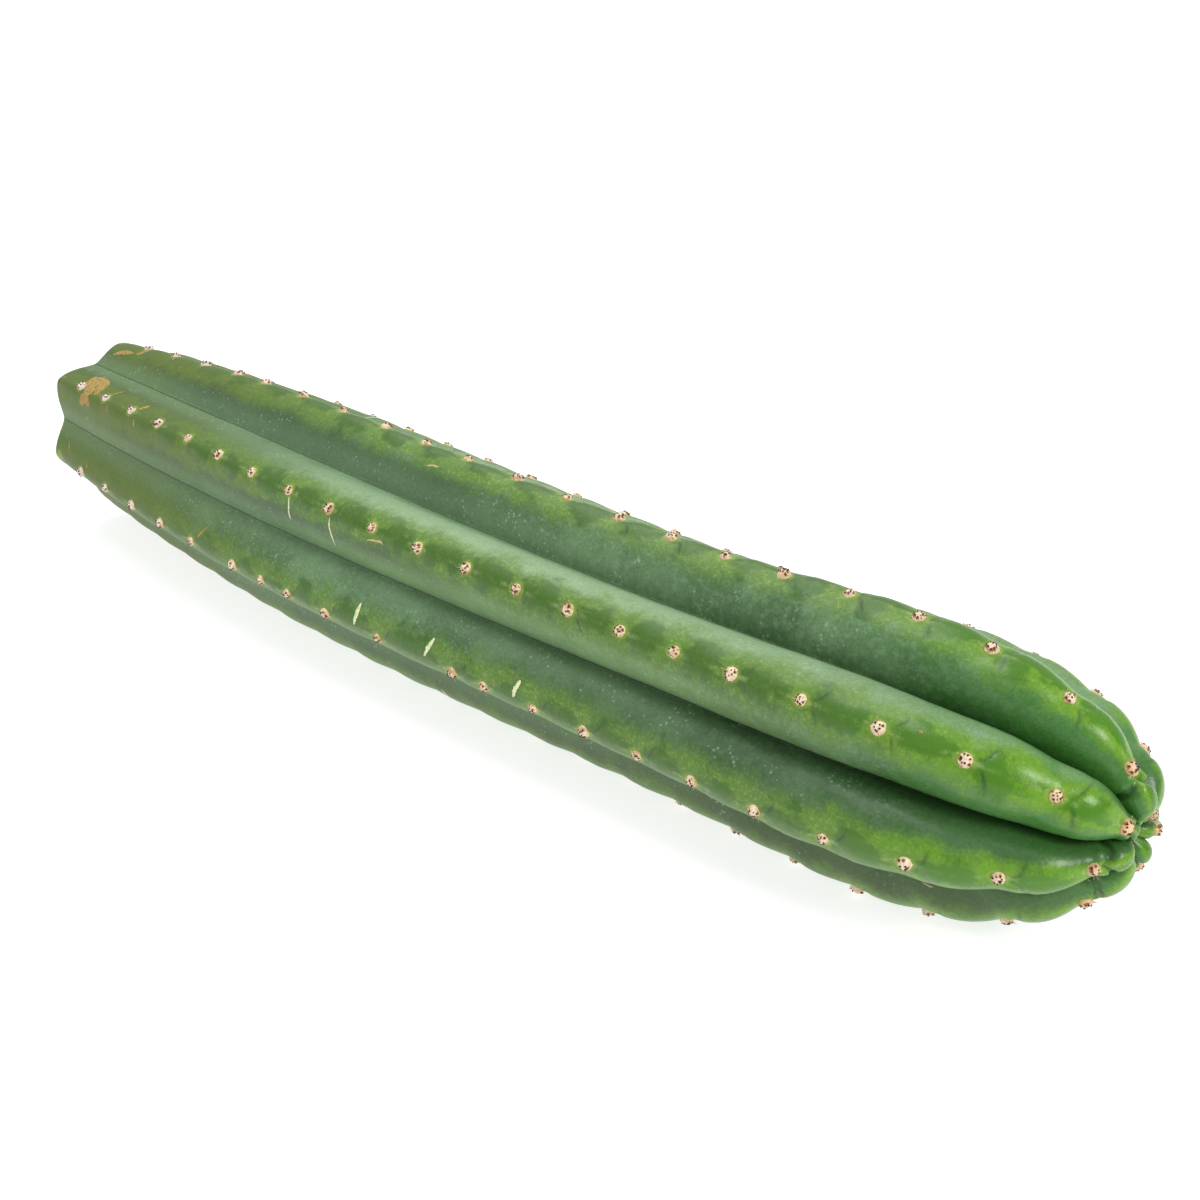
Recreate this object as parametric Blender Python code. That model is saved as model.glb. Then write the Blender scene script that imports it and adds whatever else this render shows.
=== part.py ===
"""Cut length of a tall ribbed columnar cactus, lying on two neighbouring ribs.

Metres, +Z up. +X runs from the cut base to the growing tip. The origin is under the middle of
the stem, on the surface that it lies on.
"""

import math

import bmesh
import bpy
from mathutils import Matrix, Vector

# The stem's overall sizes
STEM_LENGTH = 0.457  # cut face to the foremost lobe of the tip
SIDE_BOW = 0.0095  # how far the middle of the stem bends towards -Y
RIB_COUNT = 7

# Radius over the rib crests, and where along the stem (0 at the cut, 1 at the tip) it is reached
CUT_RADIUS = 0.0370
COLLAR_RADIUS = 0.0396
BELLY_RADIUS = 0.0416
WAIST_RADIUS = 0.0389
SHOULDER_RADIUS = 0.0403
COLLAR_AT = 0.12
BELLY_AT = 0.33
WAIST_AT = 0.70
SHOULDER_AT = 0.823

# Furrow radius as a share of the crest radius: shallow in old growth, deep in young growth
CUT_FURROW = 0.83
BELLY_FURROW = 0.76
SHOULDER_FURROW = 0.66

# The closing dome: its ribs end in plump lobes round a sunken growing point
TIP_DIMPLE = 0.0055  # the growing point sits this far below the lobes round it
LOBE_TOP_AT = 0.20  # where the lobes stand highest, as a share of the shoulder radius
DOME_ALONG = 2.9  # exponents of the superellipse from the shoulder to the lobe tops
DOME_ACROSS = 1.5
TIP_FURROW = 0.60  # furrow radius as a share of the crest radius, beside the growing point

# Cross-section of one rib, as two exponents: a higher fullness makes a broader crest, and a higher
# sharpness makes a narrower furrow
RIB_FULLNESS_AT_CUT = 1.55
RIB_FULLNESS_AT_SHOULDER = 2.05
RIB_FULLNESS_AT_TIP = 2.80
SHARPNESS_AT_CUT = 1.15
SHARPNESS_AT_SHOULDER = 1.70
SHARPNESS_AT_TIP = 2.30

# Areoles: the felted pads along each crest, closer together in young growth
AREOLE_SPACING_OLD = 0.0223
AREOLE_SPACING_YOUNG = 0.0204
OLD_GROWTH_TO = 0.52
YOUNG_GROWTH_FROM = 0.68
AREOLE_RADIUS = 0.0019
AREOLE_HEIGHT = 0.0005  # how far a pad stands proud of the crest
AREOLE_ROOT = 0.0012  # how far a pad is sunk into the crest
AREOLE_SIDES = 6
AREOLE_TAPER = 0.75  # top radius of a pad over its base radius
CUT_MARGIN = 0.0040  # no pad stands nearer the cut face than this

# Distance over the crest from the growing point to each rib's first areole, as a share of the
# young spacing
FIRST_AREOLE = (1.10, 0.75, 1.10, 1.22, 0.78, 0.60, 0.42)

# Each rib's lean away from an even spacing round the stem, in degrees. The fourth and the fifth
# rib are the two that the stem rests on, so they lean by equal and opposite amounts.
RIB_LEAN = (0.0, 0.3, -2.2, 1.2, -1.2, -2.0, -7.0)
FIRST_RIB_ANGLE = 90.0  # the first rib is on top, and the next ones follow towards -Y

# Crest radius of each rib as a share of the even one, at the cut and from the shoulder to the tip.
# At the belly all ribs are even.
RIB_REACH_AT_CUT = (0.88, 1.04, 1.0, 1.0, 1.0, 0.97, 0.95)
RIB_REACH_AT_SHOULDER = (1.0, 1.0, 1.0, 1.0, 1.0, 1.0, 0.93)

# Fineness of the mesh
COLUMNS_PER_RIB = 8
DOME_RINGS = 11
BODY_RINGS = 26
CUT_RINGS = 1
CREST_SAMPLES = 400

SKIN_COLOUR = (0.10, 0.24, 0.08, 1.0)
SKIN_ROUGHNESS = 0.42

EVEN_RIB_ANGLE = 360.0 / RIB_COUNT


def smooth_through(knots, x):
    """The value at x of a smooth curve through the knots, each (place, value)."""
    if x <= knots[0][0]:
        return knots[0][1]
    if x >= knots[-1][0]:
        return knots[-1][1]
    last = len(knots) - 1
    i = max(n for n in range(last) if knots[n][0] <= x)

    def slope(n):
        before, after = knots[max(n - 1, 0)], knots[min(n + 1, last)]
        return (after[1] - before[1]) / (after[0] - before[0])

    (x0, y0), (x1, y1) = knots[i], knots[i + 1]
    span = x1 - x0
    t = (x - x0) / span
    rise = 3 * t**2 - 2 * t**3
    start = (t - 2 * t**2 + t**3) * span * slope(i)
    end = (t**3 - t**2) * span * slope(i + 1)
    return y0 + (y1 - y0) * rise + start + end


def body_radius(along):
    knots = (
        (0.0, CUT_RADIUS),
        (COLLAR_AT, COLLAR_RADIUS),
        (BELLY_AT, BELLY_RADIUS),
        (WAIST_AT, WAIST_RADIUS),
        (SHOULDER_AT, SHOULDER_RADIUS),
    )
    return smooth_through(knots, along)


def furrow_share(along):
    knots = ((0.0, CUT_FURROW), (BELLY_AT, BELLY_FURROW), (SHOULDER_AT, SHOULDER_FURROW))
    return smooth_through(knots, along)


def areole_spacing(along):
    knots = ((OLD_GROWTH_TO, AREOLE_SPACING_OLD), (YOUNG_GROWTH_FROM, AREOLE_SPACING_YOUNG))
    return smooth_through(knots, along)


def outline(travel):
    """Crest and furrow points, each (distance from the cut, radius), at travel along the stem.

    travel 0 is the cut face, 1 is the shoulder where the dome starts, and 2 is the growing point.
    """
    shoulder = SHOULDER_AT * STEM_LENGTH
    if travel <= 1:
        along = travel * SHOULDER_AT
        crest = body_radius(along)
        return (travel * shoulder, crest), (travel * shoulder, crest * furrow_share(along))
    turn = (travel - 1) * math.pi / 2
    inward = math.cos(turn)
    dome = STEM_LENGTH - shoulder
    if inward > LOBE_TOP_AT:
        reach = (inward - LOBE_TOP_AT) / (1 - LOBE_TOP_AT)
        height = dome * (1 - reach**DOME_ACROSS) ** (1 / DOME_ALONG)
    else:
        height = dome - TIP_DIMPLE * (1 - inward / LOBE_TOP_AT) ** 2
    furrow_height = (dome - TIP_DIMPLE) * math.sin(turn) ** (2 / DOME_ACROSS)
    share = SHOULDER_FURROW + (TIP_FURROW - SHOULDER_FURROW) * (travel - 1)
    crest = SHOULDER_RADIUS * max(inward, 0.0)
    return (shoulder + height, crest), (shoulder + furrow_height, crest * share)


def rib_blend(travel, across):
    """1 on a crest and 0 in a furrow, where across runs from 0 at the crest to 1 at the furrow."""
    fullness = smooth_through(
        ((0, RIB_FULLNESS_AT_CUT), (1, RIB_FULLNESS_AT_SHOULDER), (2, RIB_FULLNESS_AT_TIP)), travel
    )
    sharpness = smooth_through(
        ((0, SHARPNESS_AT_CUT), (1, SHARPNESS_AT_SHOULDER), (2, SHARPNESS_AT_TIP)), travel
    )
    return max(1 - abs(across) ** fullness, 0.0) ** (1 / sharpness)


def between_ribs(values, rib):
    """Reads a list with one value for each rib at a rib number, which may lie between two ribs."""
    low = math.floor(rib)
    part = rib - low
    here, following = (values[n % RIB_COUNT % len(values)] for n in (low, low + 1))
    return here * (1 - part) + following * part


def rib_angle(rib):
    """Angle round the stem, in radians, of a rib number; a half is the furrow after that rib."""
    return math.radians(FIRST_RIB_ANGLE + rib * EVEN_RIB_ANGLE + between_ribs(RIB_LEAN, rib))


def rib_reach(rib, along):
    """How far a rib stands out, as a share of the even crest radius."""
    towards_cut = max(1 - along / BELLY_AT, 0.0) ** 2
    towards_tip = min(max((along - BELLY_AT) / (SHOULDER_AT - BELLY_AT), 0.0), 1.0)
    more_at_cut = between_ribs(RIB_REACH_AT_CUT, rib) - 1
    more_at_shoulder = between_ribs(RIB_REACH_AT_SHOULDER, rib) - 1
    return 1 + more_at_cut * towards_cut + more_at_shoulder * towards_tip


def bow(x):
    """Sideways place of the stem's centre line at distance x from the cut."""
    from_middle = 2 * x / STEM_LENGTH - 1
    return -SIDE_BOW * (1 - from_middle**2)


def surface_point(travel, rib):
    """Point on the skin, before the stem is laid down."""
    crest, furrow = outline(travel)
    share = rib_blend(travel, 2 * abs(rib - round(rib)))
    x = furrow[0] + (crest[0] - furrow[0]) * share
    radius = furrow[1] + (crest[1] - furrow[1]) * share
    radius *= rib_reach(rib, x / STEM_LENGTH)
    angle = rib_angle(rib)
    return Vector((x, bow(x) + radius * math.cos(angle), radius * math.sin(angle)))


def laying_down():
    """Turns the stem so that its belly and its shoulder both touch the surface."""
    drop = (BELLY_RADIUS - SHOULDER_RADIUS) * math.cos(math.radians(EVEN_RIB_ANGLE / 2))
    run = (SHOULDER_AT - BELLY_AT) * STEM_LENGTH
    return Matrix.Rotation(math.atan2(drop, run), 4, "Y")


def material(name, colour, roughness):
    made = bpy.data.materials.new(name)
    made.use_nodes = True
    shader = made.node_tree.nodes["Principled BSDF"]
    shader.inputs["Base Color"].default_value = colour
    shader.inputs["Roughness"].default_value = roughness
    shader.inputs["Metallic"].default_value = 0.0
    return made


def ring_travels():
    """How far along the stem each ring of points stands, from the growing point to the cut face."""
    dome = [2 - n / DOME_RINGS for n in range(DOME_RINGS)]
    body = [1 - n / BODY_RINGS for n in range(BODY_RINGS + 1)]
    return dome + body


def make_stem(collection):
    """A sphere whose rings are set out along the stem: its poles are the tip and the cut's middle."""
    travels = ring_travels()
    rings = len(travels) - 1 + CUT_RINGS
    columns = RIB_COUNT * COLUMNS_PER_RIB
    mesh = bpy.data.meshes.new("stem")
    body = bmesh.new()
    bmesh.ops.create_uvsphere(body, u_segments=columns, v_segments=rings, radius=1.0)
    for vertex in body.verts:
        ring = round(math.acos(max(-1.0, min(1.0, vertex.co.z))) / math.pi * rings)
        turn = math.atan2(vertex.co.y, vertex.co.x) / (2 * math.pi) * columns
        rib = round(turn) % columns / COLUMNS_PER_RIB
        if ring < len(travels):
            vertex.co = surface_point(travels[ring], rib)
        else:
            rim = surface_point(0.0, rib)
            centre = Vector((0.0, bow(0.0), 0.0))
            vertex.co = rim.lerp(centre, (ring - len(travels) + 1) / CUT_RINGS)
    bmesh.ops.recalc_face_normals(body, faces=body.faces)
    body.to_mesh(mesh)
    body.free()
    mesh.set_sharp_from_angle(angle=math.radians(50))
    stem = bpy.data.objects.new("stem", mesh)
    collection.objects.link(stem)
    return stem


def crest_stations(rib):
    """Travel of every areole on a rib, found by walking down the crest from the growing point."""
    found = []
    wanted = FIRST_AREOLE[rib % len(FIRST_AREOLE)] * AREOLE_SPACING_YOUNG
    walked = 0.0
    here = surface_point(2.0, rib)
    for n in range(1, CREST_SAMPLES + 1):
        travel = 2 * (1 - n / CREST_SAMPLES)
        following = surface_point(travel, rib)
        walked += (following - here).length
        here = following
        if walked >= wanted and here.x >= CUT_MARGIN:
            found.append(travel)
            wanted += areole_spacing(here.x / STEM_LENGTH)
    return found


def built_skin_point(travel, rib):
    """Point on the skin as built, which runs straight between the rings on either side of travel."""
    travels = ring_travels()
    n = next(n for n in range(1, len(travels)) if travels[n] <= travel)
    share = (travels[n - 1] - travel) / (travels[n - 1] - travels[n])
    return surface_point(travels[n - 1], rib).lerp(surface_point(travels[n], rib), share)


def outward(travel, rib):
    """Unit normal of the crest at travel."""
    step = 0.01
    along = surface_point(travel + step, rib) - surface_point(travel - step, rib)
    spoke = Vector((0.0, math.cos(rib_angle(rib)), math.sin(rib_angle(rib))))
    return (spoke - along * (spoke.dot(along) / along.length_squared)).normalized()


def make_areole_pads(collection):
    """All the areole pads in one helper, to be joined to the stem that they grow from."""
    pads = bmesh.new()
    depth = AREOLE_ROOT + AREOLE_HEIGHT
    for rib in range(RIB_COUNT):
        for travel in crest_stations(rib):
            normal = outward(travel, rib)
            centre = built_skin_point(travel, rib) + normal * (AREOLE_HEIGHT - depth / 2)
            turned = normal.to_track_quat("Z", "Y").to_matrix().to_4x4()
            bmesh.ops.create_cone(
                pads,
                cap_ends=True,
                segments=AREOLE_SIDES,
                radius1=AREOLE_RADIUS,
                radius2=AREOLE_RADIUS * AREOLE_TAPER,
                depth=depth,
                matrix=Matrix.Translation(centre) @ turned,
            )
    mesh = bpy.data.meshes.new("areole_pads")
    pads.to_mesh(mesh)
    pads.free()
    helper = bpy.data.objects.new("areole_pads", mesh)
    helper.hide_render = True
    helper.display_type = "WIRE"
    collection.objects.link(helper)
    return helper


def lay_on_surface(*objects):
    """Lays the pieces down together, with the first one centred over the origin and touching Z = 0."""
    for piece in objects:
        piece.data.transform(laying_down())
    points = [vertex.co for piece in objects for vertex in piece.data.vertices]
    low = [min(point[axis] for point in points) for axis in range(3)]
    high = [max(point[axis] for point in points) for axis in range(3)]
    shift = Vector(((low[0] + high[0]) / -2, (low[1] + high[1]) / -2, -low[2]))
    for piece in objects:
        piece.data.transform(Matrix.Translation(shift))


def main():
    for leftover in list(bpy.data.objects):
        bpy.data.objects.remove(leftover)
    cactus = bpy.data.collections.new("cactus")
    helpers = bpy.data.collections.new("helpers")
    bpy.context.scene.collection.children.link(cactus)
    bpy.context.scene.collection.children.link(helpers)

    stem = make_stem(cactus)
    stem.data.materials.append(material("waxy_skin", SKIN_COLOUR, SKIN_ROUGHNESS))
    pads = make_areole_pads(helpers)
    lay_on_surface(stem, pads)

    join = stem.modifiers.new("grown_on_pads", "BOOLEAN")
    join.operation = "UNION"
    join.object = pads


main()
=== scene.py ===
import math
from functools import partial

import bpy
import numpy as np
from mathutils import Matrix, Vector


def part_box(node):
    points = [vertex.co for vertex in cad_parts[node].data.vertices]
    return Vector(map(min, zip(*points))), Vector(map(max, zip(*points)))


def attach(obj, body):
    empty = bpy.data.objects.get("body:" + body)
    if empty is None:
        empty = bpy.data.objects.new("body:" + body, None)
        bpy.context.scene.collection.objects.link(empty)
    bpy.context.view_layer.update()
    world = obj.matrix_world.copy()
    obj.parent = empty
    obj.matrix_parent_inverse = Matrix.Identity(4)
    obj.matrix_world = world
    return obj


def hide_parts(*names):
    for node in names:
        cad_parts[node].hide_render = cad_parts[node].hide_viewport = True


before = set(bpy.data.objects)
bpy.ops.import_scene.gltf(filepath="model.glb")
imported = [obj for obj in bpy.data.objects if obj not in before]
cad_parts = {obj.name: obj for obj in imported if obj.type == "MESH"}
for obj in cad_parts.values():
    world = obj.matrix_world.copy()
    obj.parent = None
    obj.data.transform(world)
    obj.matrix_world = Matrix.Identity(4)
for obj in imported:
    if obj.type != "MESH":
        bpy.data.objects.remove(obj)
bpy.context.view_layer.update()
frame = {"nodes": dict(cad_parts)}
lowCorner, highCorner = (Vector(corner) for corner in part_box("stem"))
middle = (lowCorner + highCorner) / 2
millimetre = 0.001
print("frame loaded:", ", ".join(frame["nodes"]))


# A node's kind may be followed by its main choice, as in "Math ADD"
mainChoices = {
    "Math": "operation",
    "VectorMath": "operation",
    "Mix": "data_type",
    "MapRange": "interpolation_type",
}
nodeFamilies = {
    "GeometryNodeTree": ("GeometryNode", "FunctionNode", "ShaderNode", "Node"),
    "ShaderNodeTree": ("ShaderNode",),
}


def addNode(tree, kind, *feeds, **settings):  # one node, its settings, and what feeds each input
    kind, _, choice = kind.partition(" ")
    family = next(f for f in nodeFamilies[tree.bl_idname] if hasattr(bpy.types, f + kind))
    node = tree.nodes.new(family + kind)
    if choice:
        settings[mainChoices[kind]] = choice
    for setting, value in settings.items():
        setattr(node, setting, value)
    named = bool(feeds) and isinstance(feeds[0], dict)  # feeds go by the sockets' names, or in order
    for place, source in feeds[0].items() if named else enumerate(feeds):
        if named:
            socket = next(s for s in node.inputs if s.enabled and s.name == place)
        else:
            socket = node.inputs[place]
        if isinstance(source, bpy.types.Node):
            source = next(s for s in source.outputs if s.enabled)
        if isinstance(source, bpy.types.NodeSocket):
            tree.links.new(source, socket)
        elif source is not None:
            socket.default_value = source
    return node


def multiplyShares(tree, *shares):  # a tuple is a value and the limits that it fades between
    whole = None
    for share in shares:
        if isinstance(share, tuple):
            share = addNode(tree, "MapRange SMOOTHSTEP", *share)
        whole = share if whole is None else addNode(tree, "Math MULTIPLY", whole, share)
    return whole


def paintLayers(tree, base, *layers):  # a layer is a colour and the shares that say how much of it shows
    colour = linear(base)
    for over, *shares in layers:
        feeds = {"Factor": multiplyShares(tree, *shares), "A": colour, "B": linear(over)}
        colour = addNode(tree, "Mix RGBA", feeds)
    return colour


def raiseRelief(tree, shader, height):  # bends the light as if the surface had this height in metres
    bump = addNode(tree, "Bump", {"Strength": 1.0, "Distance": 1.0, "Height": height})
    tree.links.new(bump.outputs[0], shader.inputs["Normal"])


def newTree(name, sockets):  # a geometry tree with named inputs; returns the tree and its inputs
    tree = bpy.data.node_groups.new(name, "GeometryNodeTree")
    for label, (kind, value) in sockets.items():
        socket = tree.interface.new_socket(label, in_out="INPUT", socket_type="NodeSocket" + kind)
        if value is not None:
            socket.default_value = value
    tree.interface.new_socket("Geometry", in_out="OUTPUT", socket_type="NodeSocketGeometry")
    return tree, addNode(tree, "GroupInput").outputs


def growPiece(name, tree, inputs):  # runs a tree once and keeps what it makes as a plain mesh
    piece = bpy.data.objects.new(name, bpy.data.meshes.new(name))
    bpy.context.scene.collection.objects.link(piece)
    growth = piece.modifiers.new("growth", "NODES")
    growth.node_group = tree
    for socket in tree.interface.items_tree:
        if socket.item_type == "SOCKET" and socket.in_out == "INPUT" and socket.name in inputs:
            growth[socket.identifier] = inputs[socket.name]
    graph = bpy.context.evaluated_depsgraph_get()
    grown = bpy.data.meshes.new_from_object(piece.evaluated_get(graph), depsgraph=graph)
    piece.modifiers.clear()
    piece.data = grown
    grown.name = name
    print(f"{name}: {len(grown.vertices)} points, {len(grown.polygons)} faces")
    return piece


def helperMesh(name, points, faces=(), columns=None):  # a hidden mesh with a number attribute for each column
    mesh = bpy.data.meshes.new(name)
    mesh.from_pydata(points, [], faces)
    for label, values in (columns or {}).items():
        mesh.attributes.new(label, "FLOAT", "POINT").data.foreach_set("value", np.float32(values))
    helper = bpy.data.objects.new(name, mesh)
    bpy.context.scene.collection.objects.link(helper)
    helpers.append(helper)
    return helper


def makeTable(name, columns):  # one row for each point
    rows = len(next(iter(columns.values())))
    return helperMesh(name, [(0.0, 0.0, 0.0)] * rows, columns=columns)


def readTable(tree, table, labels, row):  # looks up each column of a table at a row number
    add = partial(addNode, tree)
    points = add("ObjectInfo", {"Object": table}).outputs["Geometry"]
    found = {}
    for label in labels.split():
        column = add("InputNamedAttribute", {"Name": label})
        found[label] = add("SampleIndex", {"Geometry": points, "Value": column, "Index": row})
    return found


def smoothThrough(knots, x):  # a smooth curve through the knots, read at every x
    places, values = np.array(knots, float).T
    order = np.arange(len(places))
    after, before = np.minimum(order + 1, order[-1]), np.maximum(order - 1, 0)
    slopes = (values[after] - values[before]) / (places[after] - places[before])
    i = np.clip(np.searchsorted(places, x, side="right") - 1, 0, len(places) - 2)
    span = places[i + 1] - places[i]
    t = np.clip((x - places[i]) / span, 0, 1)
    level = values[i] + (values[i + 1] - values[i]) * t * t * (3 - 2 * t)
    return level + span * (slopes[i] * (t - 2 * t**2 + t**3) + slopes[i + 1] * (t**3 - t**2))


def linear(code):  # "#rrggbb" as the linear colour that a shader takes
    parts = [int(code[n : n + 2], 16) / 255 for n in (1, 3, 5)]
    return [p / 12.92 if p <= 0.04045 else ((p + 0.055) / 1.055) ** 2.4 for p in parts] + [1.0]


helpers = []

# The stem. Knots are (share of the length from the cut, value); lists go by rib, from the top one
# round towards -Y. Lengths are in metres.
stem = {
    "ribs": 7,
    "length": 0.457,
    "bow": 0.0095,
    "radii": ((0, 0.0370), (0.12, 0.0396), (0.33, 0.0416), (0.70, 0.0389), (0.823, 0.0403)),
    "furrows": ((0, 0.83), (0.33, 0.76), (0.823, 0.66)),
    "dimple": 0.0055,
    "lobeTop": 0.20,
    "domeUpward": 2.9,
    "domeSideward": 1.5,
    "tipFurrow": 0.60,
    "fullness": ((0, 1.50), (0.5, 1.60), (1, 1.85), (1.5, 2.30), (2, 3.0)),
    "sharpness": ((0, 0.60), (0.2, 0.70), (0.5, 0.85), (1, 1.15), (1.5, 1.65), (2, 2.4)),
    "lean": (0.0, 0.3, -2.2, 1.2, -1.2, -2.0, -4.0),
    # (place round the stem in ribs, degrees turned at the tip): one lobe crowds its neighbours there
    "crownTurn": ((0, -5), (0.5, -10), (1, 0), (1.5, 10), (2, 5), (3, 0), (6, -3), (7, -5)),
    "reachAtCut": (0.88, 1.04, 1.0, 1.0, 1.0, 0.97, 0.95),
    "reachAtShoulder": (1.0, 1.0, 1.0, 1.0, 1.0, 1.0, 0.97),
    "crownFrom": 1.25,  # where the lobes start to turn, from 1 at the shoulder to 2 at the growing point
    "calmAtTip": 0.009,  # metres of crest over which the relief dies away
    "calmAtCut": 0.006,
    "rings": 460,
    "columnsPerRib": 30,
    "crowding": 0.45,  # 0 spaces the columns evenly, and more crowds them at crests and furrows
}

# The areoles, one below another on every crest, counted from the growing point.
areoles = {
    "spacing": ((0.52, 0.0223), (0.68, 0.0204)),
    "first": (1.10, 0.75, 1.10, 1.22, 0.78, 0.60, 0.42),  # in spacings from the growing point
    # (areole number, how many spacings it stands too near the cut), and even in between
    "strays": {
        0: ((0, -0.06), (2, 0.11), (5, 0.17), (8, 0.09), (11, 0.18), (13, 0.07), (16, 0.27), (17, 0.13),
            (21, 0.25)),
        1: ((1, -0.13), (5, 0.17), (8, 0.0), (12, -0.09), (18, -0.19), (21, -0.29)),
        2: ((0, -0.15), (3, 0.08), (5, 0.14), (9, 0.0), (10, -0.37), (11, 0.19), (12, 0.38), (13, 0.31),
            (14, 0.0), (15, -0.23), (16, 0.02), (21, 0.12)),
        3: ((0, 0.0), (6, 0.15), (13, -0.1), (21, 0.1)),
        5: ((0, 0.0), (8, -0.15), (15, 0.1), (21, -0.1)),
    },
    # (share of the length from the cut, metres to the side of the crest)
    "drift": {
        0: ((0, -0.0012), (0.2, -0.0018), (0.5, -0.0022), (0.68, 0.0), (0.85, 0.0010), (1, 0.0016)),
        1: ((0, -0.0020), (0.2, -0.0023), (0.38, 0.0), (0.8, 0.0010), (0.95, 0.0)),
        2: ((0, -0.0006), (0.3, 0.0), (0.5, 0.0012), (0.85, 0.0010), (0.95, -0.0008)),
        3: ((0, 0.0040), (0.4, 0.0050), (0.62, 0.0046), (0.76, 0.0012), (0.86, -0.0012), (1, -0.0008)),
        4: ((0, 0.0), (0.5, 0.0014), (1, 0.0)),
        5: ((0, 0.0012), (0.5, -0.0012), (1, 0.0)),
        6: ((0, -0.0010), (0.6, 0.0012), (1, 0.0)),
    },
    "fromCut": 0.0040,
    "hump": ((0, 0.0005), (0.5, 0.0006), (0.8, 0.0008), (0.93, 0.0012), (1.0, 0.0024)),
    "humpWidth": ((0, 5.0), (0.7, 4.5), (0.93, 3.0), (1.0, 1.0)),
    "crease": ((0, 0.00006), (0.5, 0.00015), (0.85, 0.00032), (1.0, 0.00050)),
    "creaseReach": ((0, 0.0050), (0.8, 0.0065), (1.0, 0.0090)),
    "lastFold": (3.0, 1.0),  # how much deeper and longer the crease by the last areole is
    "seat": 0.00015,
}
bellyAt, shoulderAt = stem["radii"][2][0], stem["radii"][-1][0]


def outline(travel):  # crest x and radius, furrow x and radius; 0 is the cut, 1 the shoulder, 2 the tip
    along = np.minimum(travel, 1) * shoulderAt
    shoulder, dome = shoulderAt * stem["length"], (1 - shoulderAt) * stem["length"]
    turn = np.maximum(travel - 1, 0) * math.pi / 2
    inward = np.maximum(np.cos(turn), 0)
    beyond = np.clip((inward - stem["lobeTop"]) / (1 - stem["lobeTop"]), 0, 1)
    height = dome * (1 - beyond ** stem["domeSideward"]) ** (1 / stem["domeUpward"])
    sunken = stem["dimple"] * np.maximum(1 - inward / stem["lobeTop"], 0) ** 2
    furrowHeight = (dome - stem["dimple"]) * np.sin(turn) ** (2 / stem["domeSideward"])
    onBody = along * stem["length"]
    crestX = np.where(travel <= 1, onBody, shoulder + height - sunken)
    furrowX = np.where(travel <= 1, onBody, shoulder + furrowHeight)
    crestR = smoothThrough(stem["radii"], along) * inward
    toTip = np.maximum(travel - 1, 0)
    share = smoothThrough(stem["furrows"], along) * (1 - toTip) + stem["tipFurrow"] * toTip
    return crestX, crestR, furrowX, crestR * share


def crestWalk(samples=6000):  # travel, arc from the cut, areoles counted from the tip, and flank length
    travel = np.linspace(0, 2, samples)
    x, radius, _, furrowR = outline(travel)
    steps = np.hypot(np.diff(x), np.diff(radius))
    arc = np.concatenate([[0], np.cumsum(steps)])
    spacing = smoothThrough(areoles["spacing"], (x[1:] + x[:-1]) / 2 / stem["length"])
    count = np.concatenate([np.cumsum((steps / spacing)[::-1])[::-1], [0]])
    flank = np.hypot(radius - furrowR, (radius + furrowR) / 2 * math.pi / stem["ribs"])
    return travel, arc, count, flank


walkTravel, walkArc, walkCount, walkFlank = crestWalk()
crestLength = walkArc[-1]


def areoleCounts(rib):  # where this rib's areoles stand, in spacings from the growing point
    ordinal = np.arange(30)
    knots = np.array(areoles["strays"].get(rib, ((0, 0.0),)))
    counts = areoles["first"][rib] + ordinal + np.interp(ordinal, knots[:, 0], knots[:, 1])
    arcs = np.interp(-counts, -walkCount, walkArc)
    return counts[(counts < walkCount[0]) & (arcs > areoles["fromCut"])]


def ringTable(name, travel, shrink, recess):  # what is the same all round a ring
    crestX, crestR, furrowX, furrowR = outline(travel)
    arc = np.interp(travel, walkTravel, walkArc)
    x = crestX / stem["length"]
    nearTip, nearCut = (crestLength - arc) / stem["calmAtTip"], arc / stem["calmAtCut"]
    nearEnd = np.clip(np.minimum(nearTip, nearCut), 0, 1)
    calm = nearEnd**2 * (3 - 2 * nearEnd)  # relief dies away at the growing point and the cut
    return makeTable(
        name,
        {
            "crestX": crestX,
            "crestR": crestR,
            "furrowX": furrowX,
            "furrowR": furrowR,
            "fullness": smoothThrough(stem["fullness"], travel),
            "openness": 1 / smoothThrough(stem["sharpness"], travel),
            "flank": np.interp(travel, walkTravel, walkFlank) + 1e-6,
            "humpHeight": smoothThrough(areoles["hump"], x) * calm,
            "humpWidth": smoothThrough(areoles["humpWidth"], x),
            "creaseDepth": smoothThrough(areoles["crease"], x) * calm,
            "creaseReach": smoothThrough(areoles["creaseReach"], x),
            "seatDepth": areoles["seat"] * calm,
            "towardsCut": np.maximum(1 - x / bellyAt, 0) ** 2,
            "towardsTip": np.clip((x - bellyAt) / (shoulderAt - bellyAt), 0, 1),
            "towardsCrown": np.maximum(travel - stem["crownFrom"], 0) / (2 - stem["crownFrom"]),
            "mapAlong": arc / crestLength,
            "shrink": shrink,
            "recess": recess,
        },
    )


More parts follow.
